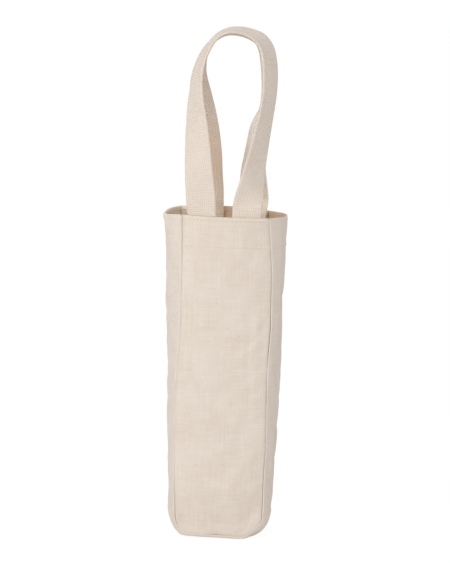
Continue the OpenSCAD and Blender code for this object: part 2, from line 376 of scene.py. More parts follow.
# Creases: from (across, up) to (across, up), half width and how far out, in mm
FRONT_CREASES = [
    (4.5, 280, 4.5, 238, 5, 0.7), (-0.7, 172, -0.3, 118, 2.2, -0.55),
    (27, 205, 28.6, 100, 2.2, 0.5), (23, 200, 24.4, 104, 2.4, -0.55),
    (-28.4, 181, -30.2, 147, 2.2, 0.6), (-31.5, 178, -33, 150, 1.8, -0.5),
    (23.4, 74, 21, 55, 1.5, -0.7), (26.2, 73, 25, 55, 1.5, 0.5),
    (30, 72, 29.6, 56, 1.4, -0.5), (33, 66, 36.5, 44, 1.5, -0.6),
    (-33, 19, -24, 8, 2, -1.3), (-29, 22, -22, 12, 2.2, 0.7),
    (20.5, 97, 13, 83, 2.4, -0.35), (33, 230, 34.5, 150, 4, -0.45),
    (-12, 120, -15, 40, 9, 0.5), (10, 60, 14, 24, 8, 0.45), (-20, 250, -16, 190, 9, -0.35),
    (14, 236, 20, 196, 7, -0.4),
]
BACK_CREASES = [
    (-6, 278, -5, 236, 5, 0.6), (3, 190, 1, 120, 3, -0.5), (-25, 210, -27, 110, 2.4, 0.5),
    (26, 170, 29, 120, 2.4, -0.5), (-22, 78, -19, 54, 1.6, -0.6),
    (24, 60, 30, 40, 1.8, -0.5), (10, 100, 14, 40, 8, 0.5),
]
# On the gusset the across is from the back seam to the front seam
RIGHT_CREASES = [
    (2, 262, 10, 216, 5, -1.1), (-12, 240, -2, 190, 6, -0.8), (12, 200, 6, 150, 4, 0.6),
    (20, 160, 24, 110, 3, -0.6), (-6, 150, -10, 60, 7, 0.7), (18, 90, 26, 52, 3, -0.7),
    (4, 70, 10, 30, 6, -0.5),
]
LEFT_CREASES = [
    (4, 258, -4, 214, 6, -0.9), (-14, 210, -8, 150, 5, 0.6), (14, 170, 20, 120, 4, -0.6),
    (-10, 110, -4, 50, 6, -0.5), (20, 60, 12, 26, 5, 0.5),
]


def creased(creases, across, up, seed):
    """How far out the cloth stands at a place, from its creases and its slackness"""
    out = 0.0
    for x1, z1, x2, z2, half_width, height in creases:
        run = np.array([x2 - x1, z2 - z1], float)
        length = float(np.linalg.norm(run))
        offset = np.array([across - x1, up - z1])
        along = float(offset @ run) / length
        aside = float(offset[0] * run[1] - offset[1] * run[0]) / length
        end = min(along, length - along) / (0.35 * length)
        out += height * smooth(end + 0.4) * hump(aside, 0, half_width)
    slack = noise.noise(Vector((across / 26, up / 60, seed)))
    slack += 0.4 * noise.noise(Vector((across / 9, up / 22, seed + 7)))
    return (out + 0.45 * slack) * MM


def crease_grid(cloth, creases, seed, across_of):
    """The grid with its creases, which die away at its edges"""
    grid, normals = cloth
    out = grid.copy()
    for i, j in np.ndindex(grid.shape[:2]):
        across, up, hold = across_of(i, j)
        out[i, j] += normals[i, j] * creased(creases, across, up, seed) * hold
    return out


def panel_across(side):
    def across_of(i, j):
        u = 2 * j / PANEL_COLUMNS - 1
        z = HEIGHTS[i] / MM
        return -side * u * row_half(HEIGHTS[i]) / MM, z, ramp(1 - abs(u), 0, 0.1) * ramp(z, 3, 10)

    return across_of


def gusset_across(i, k):
    place = 2 * k / GUSSET_COLUMNS - 1
    z = STOPS[i][1] / MM
    return -place * GUSSET_WIDTH / 2 / MM, z, ramp(1 - abs(place), 0, 0.12) * ramp(z, 18, 16)


def grid_mesh(bm, points, uvs, face_of=None, seam=None):
    """Adds a grid that is warped through the points. face_of gives each cell's face of
    the cloth, 1 for the inner one, or None for no cell, and seam each point's shade."""
    rows, columns = points.shape[:2]
    layer = bm.loops.layers.uv.get("cloth") or bm.loops.layers.uv.new("cloth")
    if seam is not None:
        shade = bm.verts.layers.float.new("seam")
    new = bmesh.ops.create_grid(bm, x_segments=columns - 1, y_segments=rows - 1, size=1)
    place = {}
    for v in new["verts"]:
        j = round((v.co.x + 1) / 2 * (columns - 1))
        i = round((1 - v.co.y) / 2 * (rows - 1))
        place[v] = (i, j)
    unwanted = []
    for f in {f for v in place for f in v.link_faces}:
        corners = [place[v] for v in f.verts]
        i, j = min(c[0] for c in corners), min(c[1] for c in corners)
        face = face_of(i, j) if face_of else 0
        if face is None:
            unwanted.append(f)
            continue
        f.material_index = face
        for loop in f.loops:
            loop[layer].uv = uvs[place[loop.vert]]
    for v, at in place.items():
        if seam is not None:
            v[shade] = seam[at]
        v.co = points[at]
    bmesh.ops.delete(bm, geom=unwanted, context="FACES")


def merge(bm, distance):
    bmesh.ops.remove_doubles(bm, verts=bm.verts, dist=distance)


def finished(name, bm, material):
    """The bmesh as an object of the scene, with its place in its mesh"""
    for face in bm.faces:
        face.smooth = True
    mesh = bpy.data.meshes.new(name)
    bm.to_mesh(mesh)
    bm.free()
    mesh.materials.append(material)
    obj = bpy.data.objects.new(name, mesh)
    bpy.context.scene.collection.objects.link(obj)
    return obj


def nearest_of(points):
    """A tree that finds the nearest of some points"""
    tree = KDTree(len(points))
    for i, p in enumerate(points):
        tree.insert(p, i)
    tree.balance()
    return tree


def settling_shell(grids):
    """The bag's shell, held at its rim and floor and drawn in along its seams"""
    bm = bmesh.new()
    for grid in grids.values():
        grid_mesh(bm, grid, np.zeros(grid.shape[:2] + (2,)))
    merge(bm, 0.05 * MM)
    bmesh.ops.recalc_face_normals(bm, faces=bm.faces)
    shell = finished("settling_shell", bm, bpy.data.materials.new("settling"))
    held = shell.vertex_groups.new(name="held")
    drawn = shell.vertex_groups.new(name="drawn")
    seams = nearest_of([*grids["gusset"][:, 0], *grids["gusset"][:, -1]])
    for v in shell.data.vertices:
        near = seams.find(v.co)[2] / MM
        firm = SEAM_HELD if near < 1 else CLOTH_HELD
        if v.co.z > BAG_HEIGHT - 4 * MM or v.co.z < 1 * MM:
            firm = 1.0
        held.add([v.index], firm, "REPLACE")
        drawn.add([v.index], smooth(1 - near / 6), "REPLACE")
    return shell


def add_cloth(shell):
    """Makes the shell a cloth, with canvas's stiffness and a little air in the bag"""
    cloth = shell.modifiers.new("settle", "CLOTH")
    cloth.collision_settings.use_collision = False
    rules = cloth.settings
    rules.quality = 5
    rules.mass = 0.15
    rules.tension_stiffness = 25
    rules.compression_stiffness = 25
    rules.shear_stiffness = 12
    rules.bending_stiffness = 0.6
    rules.vertex_group_mass = "held"
    rules.vertex_group_shrink = "drawn"
    rules.shrink_min = -0.007
    rules.shrink_max = 0.012
    rules.use_pressure = True
    rules.uniform_pressure_force = 0.15
    rules.effector_weights.gravity = 0.15


def settle_cloth(grids):
    """Lets the bag's shell settle as cloth, and moves the grids as far as it moved"""
    shell = settling_shell(grids)
    start = np.array([v.co for v in shell.data.vertices])
    add_cloth(shell)
    scene = bpy.context.scene
    for step in range(1, SETTLING_STEPS + 1):
        scene.frame_set(step)
    view = bpy.context.evaluated_depsgraph_get()
    move = np.array([v.co for v in shell.evaluated_get(view).data.vertices]) - start
    scene.frame_set(1)
    length = np.linalg.norm(move, axis=1, keepdims=True)
    move *= np.minimum(1, FARTHEST_SETTLED / np.maximum(length, 1e-9))
    tree = nearest_of(start)
    moved = {}
    for name, grid in grids.items():
        flat = [move[tree.find(p)[1]] for p in grid.reshape(-1, 3)]
        moved[name] = grid + np.array(flat).reshape(grid.shape)
    bpy.data.objects.remove(shell)
    return moved


def bag_cloths():
    """The bag's three cloths, each as its grid of points and their outward directions"""
    grids = {"front": panel_grid(-1), "back": panel_grid(1), "gusset": gusset_grid()}
    grids = {name: settled_grid(grid) for name, grid in grids.items()}
    grids = settle_cloth(grids)
    turned = {"front": 1, "back": -1, "gusset": -1}
    cloths = {name: (grids[name], grid_normals(grids[name], turned[name])) for name in grids}
    front, back, gusset = cloths.values()
    left = crease_grid(gusset, LEFT_CREASES, 9.7, gusset_across)
    right = crease_grid(gusset, RIGHT_CREASES, 13.9, gusset_across)
    middle = len(STOPS) // 2
    return {
        "front": (crease_grid(front, FRONT_CREASES, 1.3, panel_across(-1)), front[1]),
        "back": (crease_grid(back, BACK_CREASES, 5.1, panel_across(1)), back[1]),
        "gusset": (np.concatenate([left[:middle], right[middle:]]), gusset[1]),
    }


def seam_frames(bag, side):
    """At each stop of a seam: its point, the way into the gusset and its outside"""
    points, face = bag["gusset"]
    column, inner = (0, 1) if side < 0 else (-1, -2)
    frames = []
    for point, next_in, outside in zip(points[:, column], points[:, inner], face[:, column]):
        into = unit(next_in - point)
        frames.append((point, into, unit(outside - into * float(outside @ into))))
    return frames


def hem_depth(i):
    """How deep the hem's inner ply lies under the outer face, at a row of the hem"""
    return 2 * RIM_RADIUS + 0.75 * MM * ramp(i, HEM_ROWS - 4, 2)


def hem_rows(points, normals):
    """The hem, from its tucked edge up inside to the rim, for rows from the rim down"""
    down = unit(points[HEM_ROWS, 0] - points[HEM_ROWS - 1, 0])
    tuck_depth = PLY + 0.06 * MM
    full_depth = hem_depth(HEM_ROWS)
    middle, radius = (full_depth + tuck_depth) / 2, (full_depth - tuck_depth) / 2

    def under(i, depth):
        return points[i] - normals[i] * depth

    rows = [under(i, tuck_depth) for i in range(HEM_ROWS - TUCK_ROWS + 1, HEM_ROWS + 1)]
    for a in np.radians(TUCK_TURNS):
        depth = middle - radius * math.cos(a)
        rows.append(under(HEM_ROWS, depth) + down * radius * math.sin(a))
    rows += [under(i, hem_depth(i)) for i in range(HEM_ROWS, -1, -1)]
    for step in range(RIM_STEPS, 0, -1):
        a = math.pi * step / (RIM_STEPS + 1)
        rows.append(under(0, RIM_RADIUS * (1 - math.cos(a))) + UP * RIM_RADIUS * math.sin(a))
    return rows


def hem_block(rows, extra):
    """The hem's rows in a grid, with extra columns gathered at each end"""
    return np.array([[row[0]] * extra + list(row) + [row[-1]] * extra for row in rows])


def lengths_along(points):
    """Running length down the columns of a grid, or along a path"""
    steps = np.linalg.norm(np.diff(points, axis=0), axis=-1)
    if steps.ndim == 2:
        steps = steps.mean(axis=1)
    return np.concatenate([[0.0], np.cumsum(steps)])


def point_at(place, places, points):
    """The point between points at a place between their places"""
    return np.array([np.interp(place, places, points[:, a]) for a in range(3)])


# How deep the panels dip at their seams, in pairs of height and depth in mm. The
# seam's line is firmer in places, and faint low down at the left of the front.
LEFT_FRONT_GROOVE = [
    (0, 0.8), (6, 0.8), (16, 0.25), (40, 0.1), (110, 0.1), (152, 0.18), (168, 0.42),
    (200, 0.48), (280, 0.44)
]
GROOVE = [
    (0, 0.8), (12, 0.8), (24, 0.5), (36, 0.48), (50, 0.65), (70, 0.68), (86, 0.85),
    (122, 0.85), (150, 0.7), (185, 0.9), (240, 1.05), (262, 1.05), (280, 0.95)
]


def groove_at(side, row, column):
    depths = LEFT_FRONT_GROOVE if side < 0 and column == 0 else GROOVE
    return between(depths, HEIGHTS[row] / MM) * MM


def stop_of(i, j):
    """The seam's stop beside an edge point of a panel"""
    if j == 0:
        return i
    return LAST_STOP - i if j == PANEL_COLUMNS else LAST_ROW + j


def panel_edges(side, points, face, frames):
    """Each edge point of a panel, the way into the panel and outward. The edge draws
    back from the gusset's fold and dips, so that a groove is left."""
    edges = {}
    for i in range(LAST_ROW + 1):
        for j in range(PANEL_COLUMNS + 1) if i == LAST_ROW else (0, PANEL_COLUMNS):
            inward = points[i - 1, j] - points[i, j] if i == LAST_ROW else 0
            if j in (0, PANEL_COLUMNS):
                inward = inward + points[i, abs(j - 1)] - points[i, j]
            into_panel = unit(inward)
            outward = face[i, j]
            point, _, outside = frames[stop_of(i, j)]
            reach = max(0.0, float(outside @ -into_panel)) * (SEAM_RADIUS + PLY)
            groove = groove_at(side, i, j)
            gap = BOTTOM_GAP if i == LAST_ROW else min(SIDE_GAP, groove)
            edge = point + into_panel * (gap + reach) - outward * groove
            edges[i, j] = (edge, into_panel, outward)
    return edges


def draw_up_bottom(points, face, edges):
    """The rows above the bottom seam are drawn up with it"""
    for j in range(1, PANEL_COLUMNS):
        moved = edges[LAST_ROW, j][0] - points[LAST_ROW, j]
        outward = face[LAST_ROW, j]
        dip = outward * float(moved @ outward)
        for i in range(LAST_ROW - CORNER_ROWS, LAST_ROW):
            above = HEIGHTS[i] - FLOOR_LIFT
            points[i, j] += (moved - dip) * (1 - smooth(above / CORNER_RADIUS))
            points[i, j] += dip * hump(above, 0, 1 * MM)


def flange_points(bag, side, stop, depth):
    """The seam allowance at one stop of a seam, at a depth under the gusset"""
    points, face = bag["gusset"]
    columns = [k if side < 0 else -1 - k for k in range(1, FLANGE_COLUMNS + 1)]
    return [points[stop, at] - face[stop, at] * depth for at in columns]


def panel_roll(bag, side, stop, frame, edge, into_panel, outward):
    """The panel's cloth past its edge: it rolls in, then lies under the gusset"""
    point, into, outside = frame
    start = point - outside * UNDER_PANEL + into * SEAM_RADIUS
    corner = edge - (into_panel * 0.75 + outward * 0.35) * SEAM_RADIUS
    roll = [(1 - t) ** 2 * edge + 2 * t * (1 - t) * corner + t * t * start for t in ROLL_IN]
    return np.array(roll + flange_points(bag, side, stop, UNDER_PANEL))


def gusset_roll(bag, side, stop, frame):
    """The gusset's cloth past its edge: it folds back and lies under itself"""
    point, into, outside = frame
    centre = point - outside * SEAM_RADIUS
    turns = [math.pi * k / ROLL_STEPS for k in range(1, ROLL_STEPS + 1)]
    roll = [centre + (outside * math.cos(a) - into * math.sin(a)) * SEAM_RADIUS for a in turns]
    return np.array(roll + flange_points(bag, side, stop, 2 * SEAM_RADIUS))


def cloth_uvs(full, extra, width, aside):
    """Places on the flat cloth, with its seam allowances, in metres"""
    columns = full.shape[1] - 2 * extra
    along = lengths_along(full[:, extra:-extra])
    between_seams = [u * width / 2 for u in evenly(columns - 1)]
    past = [width / 2 + SEAM_ALLOWANCE * (k + 1) / extra for k in range(extra)]
    across = [-u for u in reversed(past)] + between_seams + past
    return np.array([[(u + aside, -v) for u in across] for v in along])


def seam_shades(side, body, extra):
    """How much of the seam's shade each point of a panel's cloth has, hem and body"""
    shades = np.zeros((HEM_EXTRA + len(body), body.shape[1]))
    for i in range(HEM_EXTRA, len(shades)):
        row = min(i - HEM_EXTRA, LAST_ROW)
        shades[i, :extra] = (groove_at(side, row, 0) / DARKEST_GROOVE) ** 2
        shades[i, -extra:] = (groove_at(side, row, PANEL_COLUMNS) / DARKEST_GROOVE) ** 2
        if row > LAST_ROW - len(BOTTOM_SHADES):
            shades[i, extra:-extra] = BOTTOM_SHADES[row - LAST_ROW - 1]
    return shades


def turn_outward(bm, near, direction):
    """Turns all the faces, if the one nearest a point doesn't face that direction"""
    nearest = min(bm.faces, key=lambda f: (f.calc_center_median() - near).length)
    nearest.normal_update()
    if nearest.normal.dot(direction) < 0:
        bmesh.ops.reverse_faces(bm, faces=bm.faces)


def sewn_cloth(name, points, body, hems, flat_width, direction, aside=0.0, seam=None):
    """A cloth from the grid of its body and the hems at its ends. Its seam allowances
    lie spread out only between the hems."""
    wide = body.shape[1]
    extra = (wide - points.shape[1]) // 2
    hems = [hem_block(hem, extra) for hem in hems]
    full = np.concatenate([hems[0], body] + [hem[::-1] for hem in hems[1:]])
    last = HEM_EXTRA + len(points) - 1
    second_hem = len(hems) == 2
    spread_to = last - HEM_ROWS - 1 if second_hem else last

    def face_of(i, j):
        there = FLANGE_COLUMNS <= j < wide - 1 - FLANGE_COLUMNS
        if i < HEM_EXTRA or i >= last:
            there = extra <= j < wide - extra - 1
        elif HEM_EXTRA + HEM_ROWS < i < spread_to:
            there = True
        return int(i < HEM_EXTRA - 1 or second_hem and i > last) if there else None

    bm = bmesh.new()
    grid_mesh(bm, full, cloth_uvs(full, extra, flat_width, aside), face_of, seam)
    merge(bm, 0.02 * MM)
    rows, columns = points.shape[:2]
    turn_outward(bm, Vector(points[rows // 2, columns // 2]), Vector(direction))
    obj = finished(name, bm, canvas)
    obj.data.materials.append(inner_canvas)
    rounding = obj.modifiers.new("rounding", "SUBSURF")
    rounding.levels = 1
    rounding.render_levels = 1
    thickness = obj.modifiers.new("ply", "SOLIDIFY")
    thickness.thickness = PLY
    thickness.offset = -1
    thickness.material_offset = 1
    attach(obj, "bag")
    return obj


def panel_piece(name, side, bag):
    even, face = bag["front" if side < 0 else "back"]
    points = even.copy()
    frames = seam_frames(bag, side)
    edges = panel_edges(side, points, face, frames)
    draw_up_bottom(points, face, edges)
    for place, edge in edges.items():
        points[place] = edge[0]
    extra = len(ROLL_IN) + FLANGE_COLUMNS
    body = np.zeros((LAST_ROW + 1 + extra, PANEL_COLUMNS + 1 + 2 * extra, 3))
    body[: LAST_ROW + 1, extra:-extra] = points
    for (i, j), edge in edges.items():
        stop = stop_of(i, j)
        roll = panel_roll(bag, side, stop, frames[stop], *edge)
        if j == 0:
            body[i, :extra] = roll[::-1]
        if j == PANEL_COLUMNS:
            body[i, -extra:] = roll
        if i == LAST_ROW:
            body[i + 1 :, extra + j] = roll
    # Inside, the hem reaches right to the seam; its rolled rim draws back as the face does
    hem = hem_rows(even, face)[:-RIM_STEPS] + hem_rows(points, face)[-RIM_STEPS:]
    seam = seam_shades(side, body, extra)
    direction = (0, side, 0)
    return sewn_cloth(name, points, body, [hem], PANEL_WIDTH, direction, seam=seam)


def gusset_piece(name, bag):
    points, face = bag["gusset"]
    extra = ROLL_STEPS + FLANGE_COLUMNS
    body = np.zeros((len(STOPS), GUSSET_COLUMNS + 1 + 2 * extra, 3))
    body[:, extra:-extra] = points
    for stop, frames in enumerate(zip(seam_frames(bag, -1), seam_frames(bag, 1))):
        body[stop, :extra] = gusset_roll(bag, -1, stop, frames[0])[::-1]
        body[stop, -extra:] = gusset_roll(bag, 1, stop, frames[1])
    hems = [hem_rows(points, face), hem_rows(points[::-1], face[::-1])]
    return sewn_cloth(name, points, body, hems, GUSSET_WIDTH, (0, 0, -1), GUSSET_ASIDE)


def row_at(grid, row):
    """A row of a grid at a fractional place"""
    low = int(row)
    share = row - low
    return grid[low] * (1 - share) + grid[low + 1] * share


def mouth_line(bag, drop):
    """The line round the bag at a drop below the rim, with its outward directions"""
    row = drop / (HEM_DEPTH / HEM_ROWS)
    line, out = [], []
    for key, down, across in (
        ("front", 1, 1), ("gusset", -1, 1), ("back", 1, -1), ("gusset", 1, -1)
    ):
        points, face = bag[key]
        line.extend(row_at(points[::down], row)[::across][2:-2])
        out.extend(row_at(face[::down], row)[::across][2:-2])
    return np.array(line + line[:1]), np.array(out + out[:1])


def bead(length, width, height, rings):
    """A small oval of the given size, as a mesh to be stamped"""
    bm = bmesh.new()
    shape = Matrix.Diagonal((length / 2, width / 2, height / 2, 1))
    bmesh.ops.create_uvsphere(bm, u_segments=8, v_segments=rings, radius=1, matrix=shape)
    mesh = bpy.data.meshes.new("bead")
    bm.to_mesh(mesh)
    bm.free()
    return mesh


def stitch_bead():
    """A stitch, arched so that both ends sink into the cloth"""
    mesh = bead(STITCH, THREAD, THREAD, 6)
    for v in mesh.vertices:
        v.co.z -= (v.co.x / (STITCH / 2)) ** 2 * THREAD * 0.45
    return mesh


HOLE_SIZE = (0.84 * MM, 0.8 * MM, 0.16 * MM)


def hole_shade_bead():
    """A dark bead of painted shade, for the shaded pit between two stitches"""
    mesh = bead(*HOLE_SIZE, 4)
    for polygon in mesh.polygons:
        polygon.material_index = 1
    return mesh


def stamp(bm, mesh, matrix):
    copy = mesh.copy()
    copy.transform(matrix)
    bm.from_mesh(copy)
    bpy.data.meshes.remove(copy)


# Where a handle's leg is sewn on, half its width, and how hard each side is drawn in
SEWN_AT, SEWN_HALF = 21.5 * MM, 13 * MM
LEFT_DRAWN, RIGHT_DRAWN = 0.62, 0.8


def drawn_in(x):
    """How hard a stitch is drawn in at x: hardest through a handle's sewn end"""
    off_leg = ramp(abs(abs(x) - SEWN_AT) / SEWN_HALF, 0.9, 0.3)
    return (1 - 0.72 * off_leg) * (LEFT_DRAWN if x < 0 else RIGHT_DRAWN)


def stitch_row(bm, line, out, hole_share):
    """Stitches laid along a line, with a dark bead of painted shade between each two"""
    stitch, hole = stitch_bead(), hole_shade_bead()
    run = lengths_along(line)

    def frame_at(s, height):
        along = unit(point_at(s + STITCH / 2, run, line) - point_at(s - STITCH / 2, run, line))
        up = point_at(s, run, out)
        up = unit(up - along * float(up @ along))
        turn = Matrix((along, np.cross(up, along), up)).transposed().to_4x4()
        turn.translation = Vector(point_at(s, run, line) + up * height)
        return turn

    for n in range(int(run[-1] / STITCH_PITCH)):
        stamp(bm, stitch, frame_at((n + 0.5) * STITCH_PITCH, 0.12 * MM))
        # Each pit is a dark bead of painted shade
        pit = frame_at(n * STITCH_PITCH, 0.02 * MM)
        size = hole_share * drawn_in(pit.translation.x)
        stamp(bm, hole, pit @ Matrix.Diagonal((size, size, size, 1)))


def sewn_thread(name, bm, node):
    obj = finished(name, bm, thread)
    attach(obj, "bag")
    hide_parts(node)
    return obj


def stitching(name, bag, drop, node):
    """A row of lockstitch round the bag, seen on both sides of the hem"""
    line, out = mouth_line(bag, drop)
    hole_share = 1.0 if drop < HEM_DEPTH / 2 else 0.5
    bm = bmesh.new()
    stitch_row(bm, line, out, hole_share)
    stitch_row(bm, line - out * hem_depth(drop / (HEM_DEPTH / HEM_ROWS)), -out, hole_share)
    sewn_thread(name, bm, node).data.materials.append(needle_hole_shade)


def thread_along(bm, path, radius):
    """A round thread along a path of points"""
    along = np.gradient(path, axis=0)
    grid = np.zeros((len(path), THREAD_SIDES + 1, 3))
    across = unit(np.cross(along[0], [0.13, 0.41, 0.9]))
    for i, p in enumerate(path):
        forward = unit(along[i])
        across = unit(across - forward * float(across @ forward))
        third = np.cross(forward, across)
        for k in range(THREAD_SIDES + 1):
            a = 2 * math.pi * k / THREAD_SIDES
            grid[i, k] = p + radius * (across * math.cos(a) + third * math.sin(a))
    uvs = np.zeros(grid.shape[:2] + (2,))
    uvs[:, :, 1] = lengths_along(grid)[:, None]
    grid_mesh(bm, grid, uvs)


def overlock(name, side, bag, node):
    """The thread that oversews a seam's two raw edges together, inside the bag"""
    points, face = (grid if side < 0 else grid[:, ::-1] for grid in bag["gusset"])

    def line(columns_in, depth):
        rows = [row_at(g.swapaxes(0, 1), columns_in) for g in (points, face)]
        return (rows[0] - rows[1] * depth)[HEM_ROWS + 1 : LAST_STOP - HEM_ROWS]

    depth = UNDER_PANEL + PLY + 0.15 * MM
    inner = line(OVERLOCK_INNER, depth)
    outer = line(OVERLOCK_OUTER, depth - 0.9 * MM)
    run = lengths_along((inner + outer) / 2)
    count = 4 * int(run[-1] / OVERLOCK_PITCH)
    path = []
    for n in range(count + 1):
        s = run[-1] * n / count
        share = (0.0, 0.5, 1.0, 0.5)[n % 4]
        path.append(point_at(s, run, inner) * (1 - share) + point_at(s, run, outer) * share)
    bm = bmesh.new()
    thread_along(bm, np.array(path), OVERLOCK_RADIUS)
    thread_along(bm, inner, CHAIN_RADIUS)
    merge(bm, 0.001 * MM)
    sewn_thread(name, bm, node)


# The handles. Each knot is across, inward, up and turn: across as a share of half
# the leg spacing, inward of the way to where the handles meet, up of the rise, and
# turn how far the webbing has turned from facing forward, in degrees.
FOLD_SHARE = FOLD_HEIGHT / HANDLE_RISE
FRONT_KNOTS = [
    [-1, 0, FOLD_SHARE, 0], [-1.03, 0.03, 0.13, 4], [-1.14, 0.19, 0.29, 21],
    [-1.25, 0.4, 0.465, 38], [-1.34, 0.57, 0.615, 56], [-1.3, 0.71, 0.74, 69],
    [-1.13, 0.82, 0.835, 75], [-0.85, 0.9, 0.91, 79], [-0.51, 0.96, 0.965, 82],
    [-0.07, 1, 0.995, 82], [0.43, 1, 1, 80], [0.93, 0.99, 0.985, 76],
    [1.33, 0.96, 0.958, 70], [1.625, 0.9, 0.908, 67], [1.765, 0.82, 0.838, 65],
    [1.82, 0.72, 0.75, 65], [1.795, 0.61, 0.652, 66], [1.695, 0.5, 0.557, 65],
    [1.56, 0.39, 0.462, 61], [1.42, 0.28, 0.365, 56], [1.28, 0.17, 0.268, 48],
    [1.13, 0.05, 0.155, 30], [1, 0, FOLD_SHARE, 0],
]
BACK_KNOTS = [
    [-1, 0, FOLD_SHARE, 0], [-0.97, 0.03, 0.13, 2], [-0.98, 0.19, 0.29, 6],
    [-1.12, 0.4, 0.465, 21], [-1.3, 0.57, 0.615, 41], [-1.39, 0.71, 0.74, 64],
    [-1.27, 0.82, 0.832, 77], [-1, 0.9, 0.905, 84], [-0.57, 0.96, 0.955, 87],
    [-0.1, 1, 0.975, 88], [0.39, 1, 0.974, 86], [0.86, 0.99, 0.958, 83],
    [1.22, 0.96, 0.932, 78], [1.45, 0.9, 0.886, 71], [1.57, 0.82, 0.825, 66],
    [1.625, 0.72, 0.74, 65], [1.625, 0.61, 0.647, 66], [1.56, 0.5, 0.553, 62],
    [1.28, 0.39, 0.46, 53], [1.17, 0.28, 0.364, 46], [1.08, 0.17, 0.268, 37],
    [1.02, 0.05, 0.155, 15], [1, 0, FOLD_SHARE, 0],
]
# The axis of a handle's swing, from the bag's middle
FOLD_Y = 43.969 * MM
LOOP_START_Y = WEBBING_THICKNESS / 2 - FOLD_Y
LOOP_MEET_Y = -(WEBBING_WIDTH + HANDLE_GAP) / 2
LOOP_PLACES = 600
LOOP_STEP = 0.004
# Shares of the loop over which it leaves the upright, and its legs their places
LOOP_UPRIGHT = 0.03
LOOP_ASIDE = 0.25
RIB_PITCH = 1.8 * MM
RIB_STEP = RIB_PITCH / 4
RIB_HEIGHT = 0.16 * MM
# How far each leg of a handle is sewn on to one side of its even place
SEWN_ASIDE = {-1: (0.8 * MM, 0.0), 1: (2.5 * MM, 2.5 * MM)}


def loop_place(knots, place):
    across, inward, up, turn = spline(knots, place)
    x = across * LEG_SPACING / 2
    y = LOOP_START_Y + inward * (LOOP_MEET_Y - LOOP_START_Y)
    return np.array([x, y, BAG_HEIGHT + up * HANDLE_RISE]), math.radians(turn)


def webbing_outline():
    """The webbing's section: flat faces and rounded selvedges, (across, out)"""
    thick = WEBBING_THICKNESS / 2
    round_off = thick * 0.9
    flat = WEBBING_WIDTH / 2 - round_off
    ring = []
    for end in (1, -1):
        ring += [(end * u * flat, end * thick) for u in evenly(12)]
        for turn in (60, 30, 0, -30, -60):
            a = math.radians(turn)
            ring.append((end * (flat + round_off * math.cos(a)), end * thick * math.sin(a)))
    return ring + ring[:1]


def hem_wall(cloth, x, z):
    """A point of the hem's inner face behind a panel, at x and height z, and its outside"""
    points, face = cloth
    heights = points[: HEM_ROWS + 6, PANEL_COLUMNS // 2, 2]
    i = float(np.interp(-z, -heights, np.arange(len(heights))))
    row = row_at(points, i)
    point, out = point_at(x, row[:, 0], row), point_at(x, row[:, 0], row_at(face, i))
    return point - out * (hem_depth(i) + 0.1 * MM), unit(out)


def loop_frame(knots, side, place):
    """A place along the loop: its centre, across the webbing and out of its face"""
    centre, turn = loop_place(knots, place)
    ahead = loop_place(knots, place + LOOP_STEP)[0] if place <= 1 - LOOP_STEP else centre
    before = loop_place(knots, place - LOOP_STEP)[0] if place >= LOOP_STEP else centre
    ends = smooth(1 - min(place, 1 - place) / LOOP_UPRIGHT)
    upright = UP if place < 0.5 else -UP
    along = unit(unit(ahead - before) * (1 - ends) + upright * ends)
    outside = unit(np.array([-along[2], 0.0, along[0]]))
    raw = outside * math.cos(turn) + np.array([0.0, math.sin(turn), 0.0])
    across = unit(raw - along * float(raw @ along))
    facing = np.array([1.0, -side, 1.0])
    rise = (centre[2] - BAG_HEIGHT) / HANDLE_RISE
    aside = SEWN_ASIDE[side][0 if place < 0.5 else 1] * smooth(1 - rise / LOOP_ASIDE)
    return centre * facing + [aside, 0, 0], across * facing, np.cross(along, across) * facing


def sewn_section(cloth, ring, knots, side, leg, share):
    """The webbing's section on a leg: share is 0 at the sewn end and 1 at the fold"""
    z = BAG_HEIGHT - SEWN_LENGTH + share * (SEWN_LENGTH + FOLD_HEIGHT)
    low = min(z, BAG_HEIGHT)
    lifted = ramp(z, BAG_HEIGHT - 3 * MM, FOLD_HEIGHT + 3 * MM)
    centre, across, face = loop_frame(knots, side, 0.0 if leg < 0 else 1.0)
    points = []
    for q, w in ring:
        x = leg * (LEG_SPACING / 2 + q) + SEWN_ASIDE[side][0 if leg < 0 else 1]
        wall, out = hem_wall(cloth, x, low)
        sewn = wall - out * (WEBBING_THICKNESS / 2 - w)
        sewn[2] = z + wall[2] - low
        free = centre + across * q + face * w
        free[2] = z
        points.append(sewn * (1 - lifted) + free * lifted)
    return points


def handle_sections(cloth, ring, knots, side):
    """The webbing's sections, from one sewn end up through the loop to the other"""
    fine = np.linspace(0, 1, LOOP_PLACES + 1)
    run = lengths_along(np.array([loop_frame(knots, side, place)[0] for place in fine]))
    count = int(run[-1] / RIB_STEP)
    sewn_count = int((SEWN_LENGTH + FOLD_HEIGHT) / RIB_STEP)
    shares = [k / sewn_count for k in range(sewn_count)]
    sections = [sewn_section(cloth, ring, knots, side, -1, share) for share in shares]
    for k in range(count + 1):
        place = np.interp(run[-1] * k / count, run, fine)
        centre, across, face = loop_frame(knots, side, place)
        sections.append([centre + across * q + face * w for q, w in ring])
    shares.reverse()
    sections += [sewn_section(cloth, ring, knots, side, 1, share) for share in shares]
    return np.array(sections)


def raise_ribs(grid, ring, along):
    """The selvedges bulge with each pick of the weft"""
    flat = WEBBING_WIDTH / 2 - WEBBING_THICKNESS * 0.6
    for section, v in zip(grid, along):
        centre = section.mean(axis=0)
        rib = math.cos(2 * math.pi * v / RIB_PITCH) * RIB_HEIGHT
        for k, (q, w) in enumerate(ring):
            if abs(q) > flat:
                section[k] += unit(section[k] - centre) * rib


